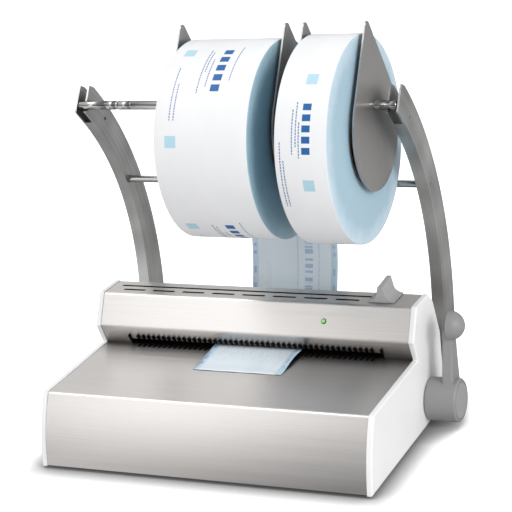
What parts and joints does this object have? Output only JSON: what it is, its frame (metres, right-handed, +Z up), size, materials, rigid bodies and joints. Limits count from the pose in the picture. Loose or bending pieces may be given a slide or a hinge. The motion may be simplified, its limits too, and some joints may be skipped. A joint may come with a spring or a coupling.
{
  "type": "medical pouch sealer",
  "caption": "Bench heat sealer for sterilisation pouch with a comb-lined gap, side lever, sliding cutter and a rear holder carrying rolls of pouch.",
  "frame": {"origin": "on the bench under the housing, at the middle of its width and depth, in the plane of the feet", "axes": "+X to the operator's right along the pouch gap, +Y to the back, +Z up"},
  "size_m": [0.4305, 0.3007, 0.4525],
  "materials": {
    "stainless": "satin",
    "arm_steel": "satin",
    "dark_steel": "satin",
    "rod_steel": "polished",
    "white_plastic": "satin",
    "grey_plastic": "satin",
    "black_plastic": "matt",
    "foot_rubber": "matt",
    "lamp_lens": "clear",
    "pouch_paper": "matt",
    "pouch_film": "gloss",
    "card": "matt"
  },
  "bodies": {
    "housing": {"base_cover": "stainless", "base_plate": "grey_plastic", "feet": "foot_rubber", "rear_cover": "stainless", "head_cover": "stainless", "side_panel_left": "white_plastic", "side_panel_right": "white_plastic", "comb_upper": "black_plastic", "comb_lower": "black_plastic", "seal_jaw_upper": "dark_steel", "seal_jaw_lower": "foot_rubber", "status_lamp": "lamp_lens", "power_inlet": "black_plastic", "power_switch": "black_plastic", "roll_arm_left": "arm_steel", "roll_arm_right": "arm_steel", "arm_spacer_left": "grey_plastic", "arm_spacer_right": "grey_plastic", "roll_rod": "rod_steel", "guide_rod": "rod_steel", "guide_plate_1": "dark_steel", "guide_plate_2": "dark_steel", "guide_plate_3": "dark_steel", "guide_plate_4": "dark_steel", "pouch_web": "pouch_film"},
    "lever": {"lever_arm": "grey_plastic", "lever_knob": "grey_plastic", "lever_cap": "grey_plastic", "lever_shaft": "rod_steel"},
    "cutter": {"cutter_knob": "grey_plastic", "cutter_stem": "grey_plastic"},
    "wide_roll": {"wide_winding": "pouch_paper", "wide_core": "card"},
    "narrow_roll": {"narrow_winding": "pouch_paper", "narrow_core": "card"}
  },
  "joints": [
    {"name": "lever_pull", "type": "hinge", "parent": "housing", "child": "lever", "pos_m": [0.21, 0.07, 0.0293], "axis": [1, 0, 0], "range_deg": [0, 75]},
    {"name": "cutter_slide", "type": "slide", "parent": "housing", "child": "cutter", "axis": [-1, 0, 0], "range_m": [0, 0.311]},
    {"name": "wide_roll_spin", "type": "hinge", "parent": "housing", "child": "wide_roll", "pos_m": [0.01375, 0.04901, 0.32956], "axis": [1, 0, 0], "continuous": true},
    {"name": "narrow_roll_spin", "type": "hinge", "parent": "housing", "child": "narrow_roll", "pos_m": [0.128, 0.04606, 0.33075], "axis": [1, 0, 0], "continuous": true}
  ]
}
